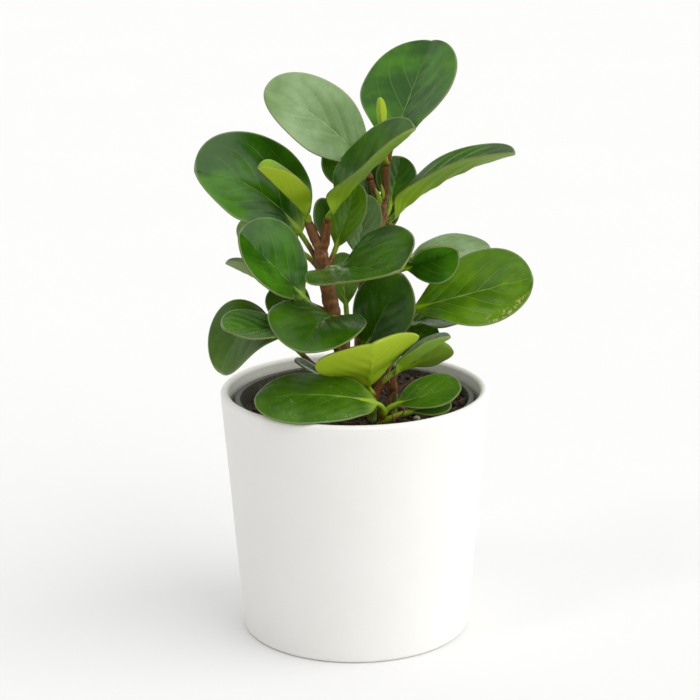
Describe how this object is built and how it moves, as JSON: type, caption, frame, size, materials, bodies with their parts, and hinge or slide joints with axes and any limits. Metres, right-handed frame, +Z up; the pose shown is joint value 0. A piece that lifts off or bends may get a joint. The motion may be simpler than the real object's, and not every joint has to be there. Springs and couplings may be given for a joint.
{
  "type": "potted peperomia",
  "caption": "Bushy house plant with thick oval glossy leaves on short reddish stems, growing in soil in a thin plastic pot that stands inside a plain white tapered cover pot.",
  "frame": {"origin": "middle of the cover pot's flat base, on the surface it stands on", "axes": "+Z up along the pot's axis and the plant's height, -Y towards the front, +X to the right seen from the front"},
  "size_m": [0.1709, 0.1412, 0.3035],
  "materials": {
    "pot_ceramic": "matt warm white, slightly chalky",
    "nursery_plastic": "dull grey-green moulded plastic",
    "soil": "loose dark potting soil with orange-brown fibres",
    "fertiliser": "pale mottled bead",
    "stem": "smooth reddish brown",
    "dead_stem": "dry, brown to orange",
    "leaf": "waxy and glossy mid to dark green, paler matt underside",
    "young_leaf": "waxy lime green"
  },
  "bodies": {
    "root": {"cover_pot": "pot_ceramic", "nursery_pot": "nursery_plastic", "soil": "soil", "fertiliser_pellet": "fertiliser", "stem_front": "stem", "stem_back": "stem", "stem_right": "stem", "shoot_front": "stem", "shoot_right": "stem", "shoot_rim": "stem", "dead_shoot": "dead_stem", "dry_curl": "dead_stem", "leaf_top_right": "leaf", "leaf_top_left": "leaf", "leaf_centre_upper": "leaf", "leaf_young_front": "young_leaf", "leaf_upper_left": "leaf", "leaf_behind_left": "leaf", "leaf_middle_left": "leaf", "leaf_far_left": "leaf", "leaf_centre_level": "leaf", "leaf_inner_upright": "leaf", "leaf_inner_pale": "leaf", "leaf_back_right": "leaf", "leaf_long_right": "leaf", "leaf_cupped_right": "leaf", "leaf_slim_right": "leaf", "leaf_big_right": "leaf", "leaf_under_right": "leaf", "leaf_dark_centre": "leaf", "leaf_behind_stem": "leaf", "leaf_grey_left": "leaf", "leaf_drooping_left": "leaf", "leaf_low_left": "leaf", "leaf_front_centre": "leaf", "leaf_front_rim": "leaf", "leaf_lime_underside": "young_leaf", "leaf_striped": "leaf", "leaf_low_right": "leaf", "leaf_grey_right": "leaf", "leaf_small_right": "leaf", "leaf_under_small": "leaf", "leaf_inner_low": "leaf", "leaf_behind_top": "leaf", "leaf_between_forks": "leaf", "leaf_hanging": "leaf", "leaf_between_petioles": "leaf", "bud_top": "young_leaf"}
  },
  "joints": []
}
